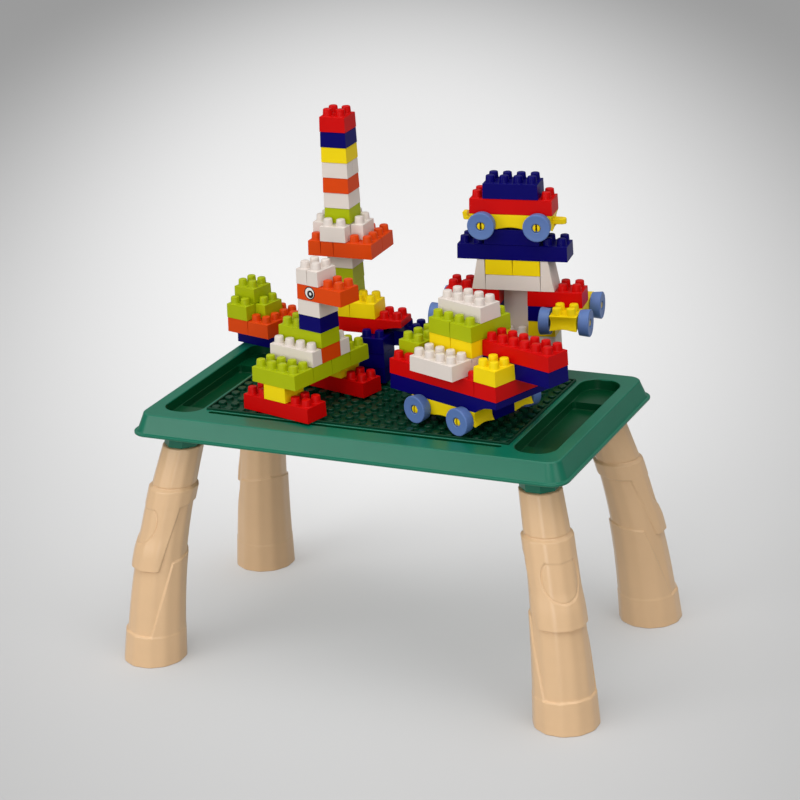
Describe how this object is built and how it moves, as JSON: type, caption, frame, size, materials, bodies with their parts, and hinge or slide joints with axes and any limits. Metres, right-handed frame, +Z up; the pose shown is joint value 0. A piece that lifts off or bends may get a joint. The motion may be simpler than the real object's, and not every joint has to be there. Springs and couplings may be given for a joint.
{
  "type": "building block table",
  "caption": "Low play table with a studded plate between two toy bins on splayed plug-in legs, with block figures and a wheeled block truck standing on it.",
  "frame": {"origin": "on the floor, under the middle of the table", "axes": "+X along the long side to the right, +Y to the back, +Z up"},
  "size_m": [0.587, 0.357, 0.6148],
  "materials": {
    "green_top": "moulded plastic, glossy",
    "green_plate": "moulded plastic, glossy",
    "sand_leg": "moulded plastic, satin",
    "red_brick": "moulded plastic, glossy",
    "yellow_brick": "moulded plastic, glossy",
    "lime_brick": "moulded plastic, glossy",
    "navy_brick": "moulded plastic, glossy",
    "white_brick": "moulded plastic, glossy",
    "orange_brick": "moulded plastic, glossy",
    "blue_wheel": "moulded plastic, glossy"
  },
  "bodies": {
    "table": {"leg_front_left": "sand_leg", "leg_front_right": "sand_leg", "leg_rear_left": "sand_leg", "leg_rear_right": "sand_leg", "stud_plate": "green_plate", "tabletop": "green_top"},
    "duck": {"duck_back": "lime_brick", "duck_body": "lime_brick", "duck_foot_front": "red_brick", "duck_foot_rear": "red_brick", "duck_hat": "white_brick", "duck_head": "orange_brick", "duck_neck": "navy_brick", "duck_wings": "white_brick"},
    "truck": {"truck_bed": "navy_brick", "truck_cab": "red_brick", "truck_chassis_front": "yellow_brick", "truck_chassis_rear": "yellow_brick", "truck_deck": "red_brick", "truck_lamp_yellow": "yellow_brick", "truck_load_lime": "lime_brick", "truck_load_stack": "yellow_brick", "truck_load_top": "white_brick", "truck_load_white": "white_brick"},
    "robot": {"robot_arm_chassis_left": "yellow_brick", "robot_arm_chassis_right": "yellow_brick", "robot_arm_left": "red_brick", "robot_arm_right": "red_brick", "robot_crown": "red_brick", "robot_head": "yellow_brick", "robot_leg_left": "lime_brick", "robot_leg_right": "lime_brick", "robot_mouth": "navy_brick", "robot_neck": "yellow_brick", "robot_shoulders": "white_brick", "robot_torso": "white_brick"},
    "tower": {"tower_column": "lime_brick", "tower_deck": "yellow_brick", "tower_foot_left": "navy_brick", "tower_foot_right": "navy_brick", "tower_gallery": "orange_brick", "tower_hull": "red_brick", "tower_mast": "lime_brick", "tower_stern": "navy_brick"},
    "tree": {"tree_crown": "lime_brick", "tree_wall": "orange_brick"},
    "robot_eye_wheel_near_a": {"robot_eye_wheel_near_a": "blue_wheel"},
    "robot_eye_wheel_near_b": {"robot_eye_wheel_near_b": "blue_wheel"},
    "robot_wheel_left_far_a": {"robot_wheel_left_far_a": "blue_wheel"},
    "robot_wheel_left_far_b": {"robot_wheel_left_far_b": "blue_wheel"},
    "robot_wheel_left_near_a": {"robot_wheel_left_near_a": "blue_wheel"},
    "robot_wheel_left_near_b": {"robot_wheel_left_near_b": "blue_wheel"},
    "robot_wheel_right_far_a": {"robot_wheel_right_far_a": "blue_wheel"},
    "robot_wheel_right_far_b": {"robot_wheel_right_far_b": "blue_wheel"},
    "robot_wheel_right_near_a": {"robot_wheel_right_near_a": "blue_wheel"},
    "robot_wheel_right_near_b": {"robot_wheel_right_near_b": "blue_wheel"},
    "truck_wheel_front_near_a": {"truck_wheel_front_near_a": "blue_wheel"},
    "truck_wheel_front_near_b": {"truck_wheel_front_near_b": "blue_wheel"},
    "truck_wheel_rear_far_a": {"truck_wheel_rear_far_a": "blue_wheel"},
    "truck_wheel_rear_far_b": {"truck_wheel_rear_far_b": "blue_wheel"}
  },
  "joints": [
    {"name": "duck_lift", "type": "slide", "parent": "table", "child": "duck", "axis": [0, 0, 1], "range_m": [0, 0.1]},
    {"name": "truck_lift", "type": "slide", "parent": "table", "child": "truck", "axis": [0, 0, 1], "range_m": [0, 0.1]},
    {"name": "robot_lift", "type": "slide", "parent": "table", "child": "robot", "axis": [0, 0, 1], "range_m": [0, 0.1]},
    {"name": "tower_lift", "type": "slide", "parent": "table", "child": "tower", "axis": [0, 0, 1], "range_m": [0, 0.1]},
    {"name": "tree_lift", "type": "slide", "parent": "table", "child": "tree", "axis": [0, 0, 1], "range_m": [0, 0.1]},
    {"name": "robot_eye_wheel_near_a_spin", "type": "hinge", "parent": "robot", "child": "robot_eye_wheel_near_a", "pos_m": [0.08748, 0.07195, 0.4888], "axis": [-0.1392, 0.9903, 0], "continuous": true},
    {"name": "robot_eye_wheel_near_b_spin", "type": "hinge", "parent": "robot", "child": "robot_eye_wheel_near_b", "pos_m": [0.15086, 0.08085, 0.4888], "axis": [-0.1392, 0.9903, 0], "continuous": true},
    {"name": "robot_wheel_left_far_a_spin", "type": "hinge", "parent": "robot", "child": "robot_wheel_left_far_a", "pos_m": [0.03449, 0.05521, 0.382], "axis": [-0.9903, -0.1392, 0], "continuous": true},
    {"name": "robot_wheel_left_far_b_spin", "type": "hinge", "parent": "robot", "child": "robot_wheel_left_far_b", "pos_m": [0.02559, 0.11859, 0.382], "axis": [-0.9903, -0.1392, 0], "continuous": true},
    {"name": "robot_wheel_left_near_a_spin", "type": "hinge", "parent": "robot", "child": "robot_wheel_left_near_a", "pos_m": [0.07965, 0.06156, 0.382], "axis": [-0.9903, -0.1392, 0], "continuous": true},
    {"name": "robot_wheel_left_near_b_spin", "type": "hinge", "parent": "robot", "child": "robot_wheel_left_near_b", "pos_m": [0.07074, 0.12493, 0.382], "axis": [-0.9903, -0.1392, 0], "continuous": true},
    {"name": "robot_wheel_right_far_a_spin", "type": "hinge", "parent": "robot", "child": "robot_wheel_right_far_a", "pos_m": [0.16125, 0.07302, 0.382], "axis": [-0.9903, -0.1392, 0], "continuous": true},
    {"name": "robot_wheel_right_far_b_spin", "type": "hinge", "parent": "robot", "child": "robot_wheel_right_far_b", "pos_m": [0.15234, 0.1364, 0.382], "axis": [-0.9903, -0.1392, 0], "continuous": true},
    {"name": "robot_wheel_right_near_a_spin", "type": "hinge", "parent": "robot", "child": "robot_wheel_right_near_a", "pos_m": [0.2064, 0.07937, 0.382], "axis": [-0.9903, -0.1392, 0], "continuous": true},
    {"name": "robot_wheel_right_near_b_spin", "type": "hinge", "parent": "robot", "child": "robot_wheel_right_near_b", "pos_m": [0.1975, 0.14275, 0.382], "axis": [-0.9903, -0.1392, 0], "continuous": true},
    {"name": "truck_wheel_front_near_a_spin", "type": "hinge", "parent": "truck", "child": "truck_wheel_front_near_a", "pos_m": [0.06522, -0.0749, 0.32], "axis": [0.3486, 0.9373, 0], "continuous": true},
    {"name": "truck_wheel_front_near_b_spin", "type": "hinge", "parent": "truck", "child": "truck_wheel_front_near_b", "pos_m": [0.12521, -0.09721, 0.32], "axis": [0.3486, 0.9373, 0], "continuous": true},
    {"name": "truck_wheel_rear_far_a_spin", "type": "hinge", "parent": "truck", "child": "truck_wheel_rear_far_a", "pos_m": [0.10342, 0.02782, 0.32], "axis": [0.3486, 0.9373, 0], "continuous": true},
    {"name": "truck_wheel_rear_far_b_spin", "type": "hinge", "parent": "truck", "child": "truck_wheel_rear_far_b", "pos_m": [0.16341, 0.00551, 0.32], "axis": [0.3486, 0.9373, 0], "continuous": true}
  ]
}
